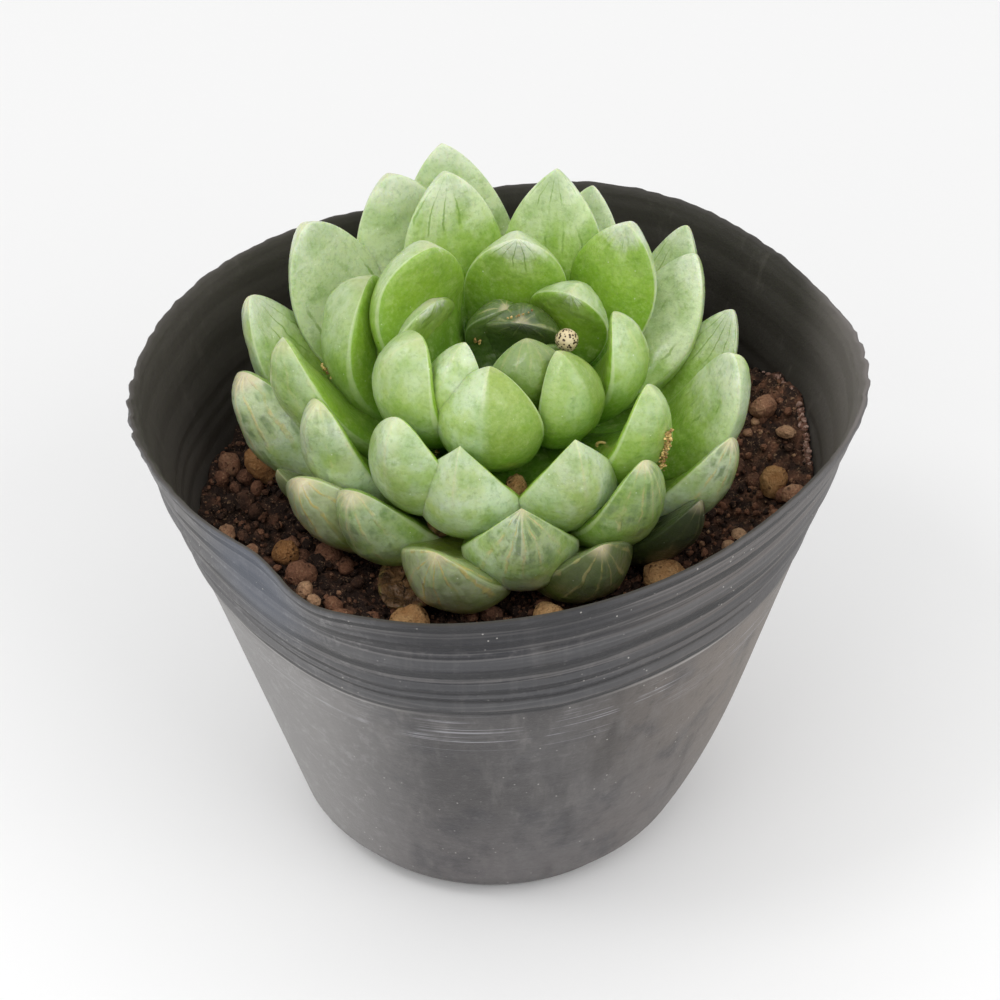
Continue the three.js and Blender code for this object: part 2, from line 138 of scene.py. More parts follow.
# Larger lumps of the mix: azimuth, distance, size, tone, how far they stand up.
STONES = (
    (165, 37.2, 3.6, 0.55, 0.5), (176, 34, 3.4, 0.16, 0.3), (170, 37.5, 2.6, 0.35, 0.4),
    (-171, 36.5, 3.0, 0.6, 0.6), (-167, 33.5, 2.4, 0.62, 0.5), (-161, 24, 4.6, 0.4, 0.3),
    (-155, 29, 4.4, 0.42, 0.4), (-153, 33.0, 2.6, 0.62, 0.6), (-147, 30.5, 2.4, 0.66, 0.7),
    (-143, 30.5, 1.8, 0.72, 0.9), (-140, 28.5, 2.6, 0.44, 0.6), (-135, 30, 3.0, 0.4, 0.4),
    (-129, 30, 3.2, 0.1, 0.4), (22, 33.5, 4.2, 0.62, 0.5), (17, 36.5, 3.8, 0.56, 0.5),
    (10, 38.2, 2.2, 0.72, 0.6), (-8, 38.3, 3.2, 0.6, 0.6), (-13, 36.5, 2.4, 0.45, 0.6),
    (-19, 32.2, 1.9, 0.78, 0.7), (1, 33, 2.2, 0.3, 0.4), (6, 31, 2.6, 0.2, 0.3),
    (-27, 31.5, 2.8, 0.16, 0.3), (-50, 30, 2.6, 0.2, 0.4), (-62, 29, 2.6, 0.24, 0.4),
    (60, 36, 3.6, 0.5, 0.4), (95, 34, 3.2, 0.55, 0.4), (120, 35, 4.0, 0.35, 0.4),
    (140, 36, 3.0, 0.6, 0.5), (75, 30, 3.4, 0.4, 0.4), (105, 38, 2.6, 0.6, 0.5),
    (35, 37, 2.8, 0.3, 0.5), (-95, 28, 2.2, 0.3, 0.4),
)
# Pale crust where the soil dried against the wall on the right: azimuth and height above the soil.
CRUST = (
    (31, 0.6), (29, 2.0), (27, 3.4), (24, 4.4), (20, 4.7), (16, 4.2), (11, 3.0), (6, 1.8), (2, 0.8),
    (-2, 0.2),
)
CRUST_CRUMBS = 420
# Gold sand grains stuck along the edge of one leaf, and the flakes that lie in the rosette: the two
# ends, how many grains and how far they scatter.
SAND_LINES = (
    ((21.4, -12.9, 69.2), (20.9, -13.5, 66.3), 55, 0.2),
    ((20.9, -13.5, 66.3), (20.2, -12.8, 62.7), 65, 0.2),
    ((-22.8, 5.5, 66.2), (-21.4, 3.6, 65.3), 16, 0.15),
    ((1.6, 6.2, 72.2), (4.4, 7.9, 72.2), 8, 0.15),
    ((-2.9, 8.0, 67.6), (-2.2, 8.2, 67.2), 5, 0.15),
    ((-8.4, -4.9, 59.4), (-7.8, -4.4, 59.0), 6, 0.2),
)
GLASS_PLACE, GLASS_RADIUS, GLASS_THICKNESS = (12.9, -6.1, 61.2), 0.55, 0.2

# ---------------- fineness of the meshes

POT_AROUND = 360
SOIL_AROUND, SOIL_RINGS = 300, 70
LEAF_AROUND = LEAF_ALONG = 56
STEM_AROUND, STEM_RINGS = 40, 60
RING_AROUND, RING_SECTION = 40, 12


# ---------------- small maths

def smoothstep(low, high, value):
    share = np.clip((np.asarray(value, float) - low) / (high - low), 0, 1)
    return share * share * (3 - 2 * share)


def bell(value, centre, spread):
    return np.exp(-(((np.asarray(value, float) - centre) / spread) ** 2))


def turn_apart(azimuth, toward):
    """Degrees from one azimuth to another, between -180 and 180."""
    return (np.degrees(azimuth) - toward + 180) % 360 - 180


def lumpy(points, size, seed):
    """Smooth noise between about -1 and 1 for points in mm, with lumps of the given size."""
    rng = np.random.default_rng(seed)
    total = np.zeros(len(points))
    for octave in range(3):
        for _ in range(4):
            direction = rng.normal(size=3)
            direction *= 2 * math.pi / (size * 0.5 ** octave * np.linalg.norm(direction))
            total += np.sin(points @ direction + rng.uniform(0, 2 * math.pi)) * 0.5 ** octave
    return total / 3.2


# ---------------- pieces

def add_piece(name, points, faces, material, replaces, slot, **data):
    """A mesh from local millimetres, riding on the one body. data holds one value or vector a point."""
    mesh = bpy.data.meshes.new(name)
    mesh.from_pydata(((np.asarray(points) + ORIGIN) * MM).tolist(), [], faces)
    mesh.polygons.foreach_set("use_smooth", [True] * len(mesh.polygons))
    for key, values in data.items():
        values = np.asarray(values, np.float32)
        kind, field = ("FLOAT", "value") if values.ndim == 1 else ("FLOAT_VECTOR", "vector")
        mesh.attributes.new(key, kind, "POINT").data.foreach_set(field, values.ravel())
    mesh.materials.append(material)
    piece = bpy.data.objects.new(name, mesh)
    bpy.context.scene.collection.objects.link(piece)
    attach(piece, "root")
    if replaces:
        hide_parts(*replaces)


def ring_faces(rings, around):
    """Quads between neighbouring closed rings of points."""
    faces = []
    for ring in range(rings - 1):
        for i in range(around):
            a = ring * around + i
            b = ring * around + (i + 1) % around
            faces.append((a, b, b + around, a + around))
    return faces


def closed_faces(rings, around):
    """The same, with a cap on the first ring and on the last."""
    faces = ring_faces(rings, around)
    faces.append(tuple(reversed(range(around))))
    faces.append(tuple(range((rings - 1) * around, rings * around)))
    return faces


def around_turns(count):
    return np.linspace(0, 2 * math.pi, count, endpoint=False)


class Graph:
    """A material's node tree, built from short calls. An input is a number, a colour or another output."""

    def __init__(self, name):
        self.material = bpy.data.materials.new(name)
        self.material.use_nodes = True
        self.tree = self.material.node_tree
        self.tree.nodes.clear()

    def node(self, kind, inputs, output=0, **settings):
        made = self.tree.nodes.new("ShaderNode" + kind)
        for key, value in settings.items():
            setattr(made, key, value)
        for key, value in inputs.items():
            if isinstance(value, bpy.types.NodeSocket):
                self.tree.links.new(value, made.inputs[key])
            else:
                made.inputs[key].default_value = value
        return made.outputs[output]

    def math(self, operation, a, b=0.0):
        return self.node("Math", {0: a, 1: b}, operation=operation)

    def times(self, *factors):
        product = factors[0]
        for factor in factors[1:]:
            product = self.math("MULTIPLY", product, factor)
        return product

    def plus(self, *terms):
        total = terms[0]
        for term in terms[1:]:
            total = self.math("ADD", total, term)
        return total

    def minus(self, a, b):
        return self.math("SUBTRACT", a, b)

    def step(self, low, high, value):
        """0 below low, 1 above high and smooth between."""
        return self.node("MapRange", {"Value": value, "From Min": low, "From Max": high},
                         interpolation_type="SMOOTHSTEP")

    def mix(self, share, a, b):
        return self.node("Mix", {"Factor": share, 6: colour(a), 7: colour(b)}, 2, data_type="RGBA")

    def layered(self, base, *layers):
        """The base colour under layers, the last one on top. A layer is the factors that its cover is
        multiplied from, and then its colour."""
        for *cover, over in layers:
            base = self.mix(self.times(*cover), base, over)
        return base

    def attribute(self, name, output=0):
        return self.node("Attribute", {}, output, attribute_name=name)

    def parts(self, vector):
        made = self.tree.nodes.new("ShaderNodeSeparateXYZ")
        self.tree.links.new(vector, made.inputs[0])
        return made.outputs

    def place(self):
        return self.node("TexCoord", {}, "Object")

    def stretched(self, x, y, z):
        return self.node("VectorMath", {0: self.place(), 1: (x, y, z)}, operation="MULTIPLY")

    def noise(self, scale, detail=2.0, vector=None, roughness=0.5):
        return self.node("TexNoise", {"Vector": vector or self.place(), "Scale": scale, "Detail": detail,
                                      "Roughness": roughness})

    def cells(self, scale, vector=None, feature="F1", randomness=1.0):
        return self.node("TexVoronoi", {"Vector": vector or self.place(), "Scale": scale,
                                        "Randomness": randomness}, "Distance", feature=feature)

    def bump(self, height, distance, strength=1.0):
        return self.node("Bump", {"Height": height, "Distance": distance, "Strength": strength})

    def finish(self, **inputs):
        shader = self.node("BsdfPrincipled", {key.replace("_", " "): value for key, value in inputs.items()})
        out = self.tree.nodes.new("ShaderNodeOutputMaterial")
        self.tree.links.new(shader, out.inputs["Surface"])
        return self.material


def colour(value):
    return (*value, 1.0) if isinstance(value, tuple) and len(value) == 3 else value


# ---------------- materials

# Lengths in a material are metres, noise scales are per metre, and colours are linear.

def leaf_material(name, body, roughness):
    """Succulent leaf. "place" holds t along, x across and y through it (inner face +). The other
    attributes say how this leaf looks, as LOOKS lists them."""
    g = Graph(name)
    t, x, y = g.parts(g.attribute("place", "Vector"))
    window, start, inside, veins, shade, olive, shaded_facet, seed = (
        g.attribute(key, "Fac") for key in (*LOOK_KEYS, "seed"))
    back = g.step(0.12, -0.12, y)
    across = g.math("ABSOLUTE", x)
    soft = g.noise(230, 3)
    blotch = g.noise(480, 4, roughness=0.7)
    fine = g.noise(1000, 3)
    grain = g.noise(1700, 3, roughness=0.7)
    # borders across the leaf are ragged, and each leaf and face has its own
    own = g.node("CombineXYZ", {0: g.times(x, 1.5), 1: g.times(seed, 9.0), 2: back})
    ragged = g.minus(g.noise(2.6, 4, own, 0.6), 0.5)
    wander = g.plus(t, g.times(g.minus(soft, 0.5), 0.2), g.times(ragged, 0.22))
    ripple = g.times(g.minus(g.noise(300, 3), 0.5), 5.0)

    # the body is deep green at the foot: partly its own colour, partly painted shade where the leaves crowd
    # together
    deep_and_shaded = tuple(part * share for part, share in zip(body, (0.34, 0.5, 0.3)))
    base = g.mix(g.step(0.26, 0.82, wander), deep_and_shaded, body)

    # the inner face clears towards the tip, with a blotchy, jagged beginning and a few dark strokes
    teeth = g.times(g.minus(g.noise(620, 3, roughness=0.7), 0.5), 0.16)
    beyond = g.minus(g.plus(wander, teeth), inside)
    strokes = g.step(0.86, 0.99, g.math("SINE", g.plus(g.times(x, 17.0), ripple, g.times(seed, 31.0))))
    some = g.step(0.46, 0.58, g.noise(170, 2))
    strokes = g.times(strokes, g.step(-0.04, 0.04, beyond), g.step(0.3, 0.16, beyond), some)
    inner = g.layered(
        base,
        (g.step(-0.2, 0.08, beyond), 0.8, (0.46, 0.63, 0.18)),
        (g.step(-0.02, 0.16, beyond), 0.85, (0.7, 0.8, 0.52)),
        (g.step(0.84, 1.0, t), g.step(0.0, 0.1, beyond), 0.8, (0.8, 0.84, 0.72)),
        (strokes, 0.7, (0.2, 0.34, 0.05)),
        (veins, 0.5, (0.12, 0.2, 0.03)),
    )

    # the back is paler, with bluish clear patches between yellower ones; on one side of the keel painted
    # shade keeps the back yellow-green, so that the pale other side reads as lit from the left
    clear = g.step(0.36, 0.62, g.noise(210, 3, roughness=0.6))
    pale = g.mix(clear, (0.5, 0.64, 0.24), (0.7, 0.82, 0.6))
    beside = g.plus(g.times(x, g.math("SIGN", shaded_facet)), g.times(ragged, 0.35))
    side = g.times(g.step(-0.08, 0.24, beside), g.math("ABSOLUTE", shaded_facet))
    green = g.mix(g.step(0.15, 0.95, t), (0.12, 0.27, 0.012), (0.31, 0.43, 0.07))
    # its veins meet at the tip, thin and broken, with darker clear patches between them
    waves = g.math("SINE", g.plus(g.times(x, 16.0), ripple, g.times(seed, 40.0)))
    reach = g.step(0.0, 0.16, g.minus(t, g.plus(0.5, g.times(g.plus(ragged, 0.35), 0.6))))
    gaps = g.times(g.step(0.3, -0.7, waves), g.step(0.42, 0.6, g.noise(430, 3)), reach, veins)
    broken = g.step(0.4, 0.56, g.noise(560, 3))
    cream = g.times(g.step(0.74, 0.98, waves), reach, g.plus(0.2, g.times(broken, 0.8)), veins)
    outer = g.layered(
        base,
        (g.step(0.25, 0.6, wander), 0.35, (0.34, 0.52, 0.09)),
        (g.step(0.0, 0.3, g.minus(wander, start)), window, 0.9, pale),
        (g.step(0.74, 1.0, wander), window, 0.6, (0.68, 0.75, 0.57)),
        (side, 0.9, green),
        (gaps, 0.8, (0.2, 0.29, 0.14)),
        (cream, 0.9, (0.74, 0.68, 0.34)),
    )

    # mottling, age and painted shade, then the thin pale margin and keel, the horny tip and small painted
    # glints
    aged = g.mix(reach, (0.15, 0.17, 0.02), (0.42, 0.46, 0.25))
    shaded = g.mix(cream, (0.022, 0.034, 0.014), (0.25, 0.26, 0.12))
    edge = g.times(g.step(0.985, 0.999, across), g.step(0.35, 0.7, t), g.minus(1.0, shade))
    keel = g.times(g.step(0.1, 0.0, across), g.step(0.7, 0.97, t), back, window)
    tip = g.times(g.step(0.96, 1.0, t), back, g.plus(0.15, g.times(veins, 0.5)))
    # painted glints of highlight: small pale spots on the upper part of the leaf
    painted_glints = g.times(g.step(0.07, 0.03, g.cells(520)), g.step(0.5, 0.8, t))
    skin = g.layered(
        g.mix(back, inner, outer),
        (g.step(0.58, 0.32, soft), 0.4, (0.2, 0.38, 0.035)),
        (g.step(0.52, 0.72, blotch), 0.34, (0.15, 0.3, 0.03)),
        (g.step(0.48, 0.3, blotch), 0.26, (0.54, 0.66, 0.26)),
        (g.step(0.45, 0.75, grain), 0.18, (0.6, 0.69, 0.36)),
        (g.step(0.52, 0.28, grain), 0.26, (0.14, 0.26, 0.03)),
        (olive, g.plus(0.45, g.times(soft, 0.6)), aged),
        (olive, cream, 0.8, (0.62, 0.5, 0.14)),
        (shade, 0.9, shaded),
        (edge, 0.42, (0.68, 0.76, 0.5)),
        (keel, 0.35, (0.68, 0.62, 0.38)),
        (tip, (0.74, 0.62, 0.42)),
        (painted_glints, 0.5, (0.85, 0.88, 0.75)),
    )
    height = g.plus(g.times(fine, 0.7), g.times(blotch, 0.8), g.times(cream, -0.3))
    return g.finish(
        Base_Color=skin,
        Roughness=g.plus(roughness, g.times(g.minus(fine, 0.5), 0.2)),
        IOR=1.38,
        Subsurface_Weight=0.5,
        Subsurface_Radius=(0.7, 1.0, 0.2),
        Subsurface_Scale=0.0012,
        Coat_Weight=0.35,
        Coat_Roughness=0.12,
        Normal=g.bump(height, 0.0003, 0.7),
    )


def withered_material():
    """A dried leaf: brown, folded and cracked, still olive along its edges."""
    g = Graph("leaf_withered")
    _, x, _ = g.parts(g.attribute("place", "Vector"))
    soft = g.noise(260, 5, roughness=0.7)
    folds = g.noise(1.0, 3, g.stretched(900, 500, 900), 0.6)
    bent = g.node("VectorMath", {0: g.place(), 1: g.times(soft, 0.004)}, operation="ADD")
    cracks = g.step(0.05, 0.0, g.cells(330, bent, "DISTANCE_TO_EDGE"))
    edges = g.times(g.step(0.8, 0.95, g.math("ABSOLUTE", x)), g.step(0.4, 0.6, folds))
    tone = g.layered(
        g.mix(g.step(0.35, 0.65, soft), (0.055, 0.026, 0.012), (0.22, 0.115, 0.05)),
        (edges, 0.5, (0.22, 0.19, 0.05)),
        (cracks, g.step(0.45, 0.6, folds), 0.9, (0.01, 0.005, 0.003)),
    )
    return g.finish(Base_Color=tone, Roughness=g.plus(0.22, g.times(soft, 0.4)), IOR=1.45,
                    Normal=g.bump(g.plus(soft, folds, g.times(cracks, -0.5)), 0.0007))


def pot_material():
    """Thin black plastic, used: scuffs, specks of dust, scratches, water streaks down the wall. The ribbed
    band is darker and bluer than the warmer body, its blue tint a painted reflection of the sky, and painted
    light and shade lie on its ribs; painted sheen lightens the pot's left and right sides; the inside is
    nearly black."""
    g = Graph("pot_plastic")
    x, _, height = g.parts(g.place())
    inside = g.attribute("inside", "Fac")
    under = g.attribute("under", "Fac")
    cloud = g.noise(42, 5, roughness=0.62)
    patches = g.noise(130, 4, roughness=0.6)
    mottle = g.noise(420, 6, roughness=0.82)
    grain = g.noise(1500, 3, roughness=0.7)
    streaks = g.noise(1.0, 4, g.stretched(420, 420, 22), 0.62)
    dark_runs = g.noise(1.0, 3, g.stretched(170, 170, 10))
    lines = g.noise(1.0, 3, g.stretched(30, 30, 3400), 0.6)
    moulding = g.noise(1.0, 2, g.stretched(14, 14, 1500), 0.6)

    # where on the pot: the ribbed band, the body below it, its two sides, and the middle of the front
    off_middle = g.math("ABSOLUTE", x)
    towards_left = g.times(x, -1.0)
    band = g.step(0.044, 0.05, height)
    below_band = g.step(0.05, 0.044, height)
    # the left side, where painted sheen makes the pot pale
    lit_left = g.step(0.008, 0.028, towards_left)
    sides = g.step(0.012, 0.03, off_middle)
    # the right side, where painted sheen makes the body lighter and warmer
    lit_right = g.step(0.002, 0.034, x)
    middle_rim = g.times(g.step(0.0605, 0.063, height), g.step(0.02, 0.008, off_middle))

    # scratches run round the pot just below the ribs, and a line of light along the lowest rib
    scuffed = g.times(g.step(0.037, 0.04, height), g.step(0.047, 0.044, height))
    worn = g.times(g.step(0.4, 0.54, g.noise(90, 4, roughness=0.6)), g.plus(0.05, scuffed))
    brink = g.times(g.step(0.0456, 0.0459, height), g.step(0.0465, 0.0462, height))
    # the flattened place on the left front is smooth, with a painted reflection of the sky on it
    away = g.node("VectorMath", {0: g.place(), 1: (-0.0315, -0.03, 0.062)}, 1, operation="DISTANCE")
    specks = g.times(g.step(0.13, 0.05, g.cells(800)), g.step(0.52, 0.6, g.noise(150, 2)))

    foot = g.mix(lit_right, (0.112, 0.103, 0.103), (0.185, 0.157, 0.14))
    outside = g.layered(
        g.mix(lit_right, (0.06, 0.056, 0.056), (0.165, 0.14, 0.12)),
        (g.step(0.03, 0.004, height), foot),
        # the ribbed band is darker, and its blue tint is a painted reflection of the sky
        (band, (0.014, 0.014, 0.019)),
        (g.step(0.42, 0.7, cloud), 0.5, (0.125, 0.12, 0.12)),
        (g.step(0.5, 0.3, patches), 0.45, (0.022, 0.023, 0.03)),
        (g.step(0.5, 0.72, mottle), 0.32, (0.2, 0.19, 0.185)),
        (g.step(0.48, 0.3, mottle), 0.4, (0.022, 0.021, 0.022)),
        (g.step(0.5, 0.75, streaks), 0.45, (0.16, 0.15, 0.145)),
        (g.step(0.56, 0.76, dark_runs), 0.6, (0.03, 0.026, 0.024)),
        (g.step(0.55, 0.66, lines), worn, 0.8, (0.4, 0.4, 0.43)),
        # painted sheen makes the left side pale, and the band is painted lighter and warmer on the right
        (lit_left, below_band, 0.75, (0.29, 0.28, 0.272)),
        (lit_left, band, 0.45, (0.235, 0.226, 0.22)),
        (g.step(0.006, 0.03, x), band, 0.8, (0.125, 0.108, 0.098)),
        (g.step(0.52, 0.64, moulding), band, 0.45, (0.2, 0.19, 0.185)),
        (g.step(0.48, 0.36, moulding), band, 0.55, (0.012, 0.011, 0.012)),
        (brink, g.step(0.005, 0.03, off_middle), 0.7, (0.42, 0.4, 0.38)),
        (lit_left, g.step(0.5, 0.66, g.noise(520, 5, roughness=0.8)), 0.5, (0.34, 0.33, 0.33)),
        # the ribs' upper sides are painted lighter and their undersides darker: painted light and shade
        (g.step(-0.02, -0.12, under), 0.6, (0.09, 0.09, 0.094)),
        (g.step(0.02, 0.1, under), g.plus(0.8, g.times(sides, 0.15)), (0.006, 0.006, 0.008)),
        (g.step(0.008, 0.045, under), sides, 0.75, (0.01, 0.009, 0.009)),
        (middle_rim, 0.55, (0.012, 0.012, 0.014)),
        (g.step(0.013, 0.003, away), 0.6, (0.1, 0.115, 0.15)),
        (specks, 0.75, (0.5, 0.48, 0.45)),
    )
    lining = g.layered(
        g.mix(g.step(0.55, 0.8, streaks), (0.04, 0.036, 0.031), (0.075, 0.068, 0.06)),
        (g.step(0.012, 0.036, towards_left), 0.4, (0.095, 0.084, 0.074)),
        (g.step(0.039, 0.0455, x), (0.15, 0.135, 0.128)),
    )
    rough = g.plus(0.34, g.times(cloud, 0.2), g.times(grain, 0.12), g.times(inside, 0.1))
    bumps = g.plus(g.times(grain, 0.3), g.times(lines, 0.06), mottle, g.times(patches, 0.8))
    return g.finish(Base_Color=g.mix(inside, outside, lining), Roughness=rough, IOR=1.42,
                    Normal=g.bump(bumps, 0.0003, 0.4))


def crumb_material(name, dark, middle, light, pores=900):
    """Soil and granules. "tone" says how light each crumb is."""
    g = Graph(name)
    tone = g.attribute("tone", "Fac")
    soft = g.noise(500, 4, roughness=0.7)
    fine = g.noise(2600, 3, roughness=0.7)
    shade = g.plus(tone, g.times(g.minus(soft, 0.5), 0.5))
    holes = g.times(g.step(0.35, 0.05, g.cells(pores)), g.step(0.45, 0.65, g.noise(700, 3)))
    base = g.layered(
        g.mix(g.step(0.05, 0.45, shade), dark, middle),
        (g.step(0.45, 0.95, shade), light),
        (holes, 0.6, dark),
        (g.step(0.56, 0.72, fine), 0.45, light),
        (g.step(0.46, 0.3, fine), 0.45, dark),
    )
    height = g.plus(soft, g.times(fine, 0.5), g.times(holes, -0.7))
    return g.finish(Base_Color=base, Roughness=0.92, Specular_IOR_Level=0.25, Normal=g.bump(height, 0.001))


def prill_material():
    """Cream coating with dark brown specks, pitted a little."""
    g = Graph("prill")
    spots = g.step(0.47, 0.34, g.cells(2500, randomness=0.9))
    cream = g.mix(g.noise(900, 2), (0.58, 0.42, 0.2), (0.86, 0.76, 0.5))
    return g.finish(Base_Color=g.mix(spots, cream, (0.055, 0.03, 0.012)), Roughness=0.42,
                    Normal=g.bump(g.times(spots, -1.0), 0.0002, 0.7))


def sand_material():
    """Golden grains, each lighter or darker by its "tone"."""
    g = Graph("gold_sand")
    tone = g.attribute("tone", "Fac")
    base = g.mix(tone, (0.2, 0.1, 0.02), (0.85, 0.62, 0.22))
    return g.finish(Base_Color=base, Roughness=0.3, Normal=g.bump(g.noise(4000, 2), 0.0001, 0.5))


def stem_material():
    """Brown and ringed, and still green at the growing top."""
    g = Graph("stem_bark")
    rings = g.noise(1.0, 3, g.stretched(300, 300, 1200))
    _, _, height = g.parts(g.place())
    bark = g.mix(rings, (0.1, 0.09, 0.03), (0.26, 0.24, 0.09))
    young = g.mix(rings, (0.03, 0.07, 0.01), (0.07, 0.14, 0.02))
    base = g.mix(g.step(0.05, 0.056, height), bark, young)
    return g.finish(Base_Color=base, Roughness=0.8, Normal=g.bump(rings, 0.0004))


def floor_material():
    """Pale matt paper, with painted shade that makes it a little darker further back."""
    g = Graph("floor")
    _, y, _ = g.parts(g.place())
    near = g.mix(g.noise(3, 2), (0.89, 0.89, 0.89), (0.905, 0.905, 0.905))
    base = g.mix(g.step(-0.05, 0.14, y), near, (0.8, 0.8, 0.8))
    return g.finish(Base_Color=base, Roughness=0.75, Specular_IOR_Level=0.2,
                    Normal=g.bump(g.noise(500, 2), 0.0001, 0.2))


# ---------------- pot

def pot_radius(z):
    return RIM_RADIUS - TAPER * (HEIGHT - z)


def squeeze(points):
    """Turns a round form into the squeezed form of the pot."""
    azimuth = np.arctan2(points[:, 1], points[:, 0])
    z = points[:, 2]
    swell = sum(size * np.cos(lobes * (azimuth - math.radians(toward))) for lobes, size, toward in RIM_WAVES)
    low = np.clip(1 - z / TUCK_TOP, 0, 1) ** 3
    tuck = TUCK * bell(turn_apart(azimuth, TUCK_TOWARD), 0, TUCK_SPREAD) * low
    scale = 1 + (swell * (z / HEIGHT) ** 2 - tuck) / pot_radius(z)
    out = points.copy()
    for axis in (0, 1):
        shift = BASE_SHIFT[axis] + (RIM_SHIFT[axis] - BASE_SHIFT[axis]) * z / HEIGHT
        out[:, axis] = points[:, axis] * scale + shift
    return out


def inside_pot(azimuth, distance, z):
    """Where a place in the round form lies in the squeezed one."""
    spot = np.array([[distance * math.cos(azimuth), distance * math.sin(azimuth), z]])
    return squeeze(spot)[0]


def rib_height(z):
    """How far the wall stands out at this height: the moulded ribs and fine lines between them."""
    depth = HEIGHT - z
    band = smoothstep(0, 2, depth) * smoothstep(RIB_BAND, RIB_BAND - 4, depth)
    fine = FINE_RIB_DEPTH * np.sin(2 * math.pi * depth / FINE_RIB) * band
    return sum(size * bell(depth, at, half) for at, size, half in RIBS) + fine


def pot_profile():
    """Radius and height from the middle of the underside out, up the wall, over the rim and down
    inside, and the number of the row where the inside begins."""
    foot_outer = pot_radius(0) - CORNER * CORNER_PULL
    foot_inner = foot_outer - FOOT_WIDTH
    rim = pot_radius(HEIGHT)
    rows = [(MIDDLE_HOLE, RECESS), (foot_inner - 1.5, RECESS), (foot_inner - 0.4, 0.2)]
    rows += [(foot_inner, 0), (foot_outer, 0)]
    for turn in np.radians((15, 30, 45, 60, 75)):
        rows.append((foot_outer + CORNER * CORNER_PULL * math.sin(turn), CORNER * (1 - math.cos(turn))))
    rows += [(pot_radius(z), z) for z in np.linspace(CORNER, HEIGHT - RIB_BAND, 34)]
    rows += [(pot_radius(z), z) for z in np.linspace(HEIGHT - RIB_BAND + 0.3, HEIGHT - 0.5, 100)]
    rows.append((rim - 0.05, HEIGHT - 0.15))
    inner_from = len(rows)
    rows += [(rim - 0.2, HEIGHT), (rim - 0.5, HEIGHT - 0.05), (rim - 0.7, HEIGHT - 0.4)]
    rows += [(pot_radius(z) - WALL, z) for z in np.linspace(HEIGHT - 1, HEIGHT - RIB_BAND + 1, 60)]
    rows += [(pot_radius(z) - WALL, z) for z in np.linspace(HEIGHT - RIB_BAND, CORNER, 24)]
    rows += [(foot_outer, WALL), (foot_inner, WALL), (foot_inner - 1.2, RECESS + WALL)]
    rows.append((MIDDLE_HOLE, RECESS + WALL))
    return np.array(rows), inner_from


def pot_points(around):
    """The pot's skin in rings, how many there are, and for each point whether it is inside and how
    much it faces down on a rib."""
    rows, inner_from = pot_profile()
    radius = np.repeat(rows[:, 0], around)
    z = np.repeat(rows[:, 1], around)
    azimuth = np.tile(around_turns(around), len(rows))
    inner_rows = np.repeat(np.arange(len(rows)) >= inner_from, around)
    # the ribs wander up and down a little and fade in and out, and show faintly on the inside
    ring = np.stack((np.cos(azimuth) * 40, np.sin(azimuth) * 40, z), 1)
    wander = 0.35 * lumpy(ring * (1, 1, 0.4), 26, seed=41)
    strength = np.where(inner_rows, 0.45, 1.0) * (1 + 0.35 * lumpy(ring, 22, seed=42))
    radius = radius + strength * rib_height(z + wander)
    points = np.stack((radius * np.cos(azimuth), radius * np.sin(azimuth), z), 1)
    under = (rib_height(z + wander + 0.3) - rib_height(z + wander - 0.3)) * np.where(inner_rows, 0, 1)
    # a ragged cut edge, torn a little at the left and the right
    ragged = lumpy(ring, 9, seed=4) * 0.12 + lumpy(ring, 2.2, seed=5) * 0.07
    torn = bell(turn_apart(azimuth, 186), 0, 14) + 0.6 * bell(turn_apart(azimuth, 3), 0, 16)
    ragged = ragged + lumpy(ring, 2.6, seed=6) * 0.35 * torn
    # the soft wall's waves, and the dents in its rim
    top = smoothstep(HEIGHT - 3, HEIGHT, z)
    change = lumpy(ring, 60, seed=7) * 0.25 * smoothstep(20, HEIGHT, z) + ragged * top
    near_rim = smoothstep(HEIGHT - 9, HEIGHT, z)
    for size, toward, spread in RIM_DENTS:
        change = change + size * bell(turn_apart(azimuth, toward), 0, spread) * near_rim
    dent = bell(turn_apart(azimuth, RIM_DENTS[0][1]), 0, RIM_DENTS[0][2]) * near_rim
    points[:, 0] += np.cos(azimuth) * change
    points[:, 1] += np.sin(azimuth) * change
    points[:, 2] += np.minimum(ragged * 0.8 - 0.25, 0) * smoothstep(HEIGHT - 1.5, HEIGHT, z) - 0.5 * dent
    return squeeze(points), len(rows), inner_rows, under


def add_pot():
    points, rows, inside, under = pot_points(POT_AROUND)
    faces = ring_faces(rows, POT_AROUND)
    last = (rows - 1) * POT_AROUND
    for i in range(POT_AROUND):
        faces.append((last + i, last + (i + 1) % POT_AROUND, (i + 1) % POT_AROUND, i))
    add_piece("pot_shell", points, faces, pot_material(), ("nursery_pot",), "pot_plastic",
              inside=inside, under=under)


# ---------------- soil

def soil_height(x, y):
    """The soil rises to one side, banks up at one place on the wall and dips in the middle."""
    distance = np.hypot(x, y) / pot_radius(SOIL_LEVEL)
    azimuth = np.arctan2(y, x)
    toward_high = distance * np.cos(azimuth - math.radians(SOIL_RISE_TOWARD))
    bank = bell(turn_apart(azimuth, SOIL_BANK_TOWARD), 0, SOIL_BANK_SPREAD) * distance ** 4
    crumbs = np.sin(0.9 * x + 0.4 * y) + np.sin(0.5 * x - 1.1 * y + 2)
    return (SOIL_LEVEL + SOIL_RISE * toward_high + SOIL_BANK * bank - SOIL_DIP * (1 - distance ** 2)
            + 0.25 * crumbs)


def ball(detail):
    """Points and triangles of a round ball that crumbs and granules are bent from."""
    shape = bmesh.new()
    bmesh.ops.create_icosphere(shape, subdivisions=detail, radius=1.0)
    points = np.array([v.co[:] for v in shape.verts])
    faces = np.array([[v.index for v in f.verts] for f in shape.faces])
    shape.free()
    return points, faces


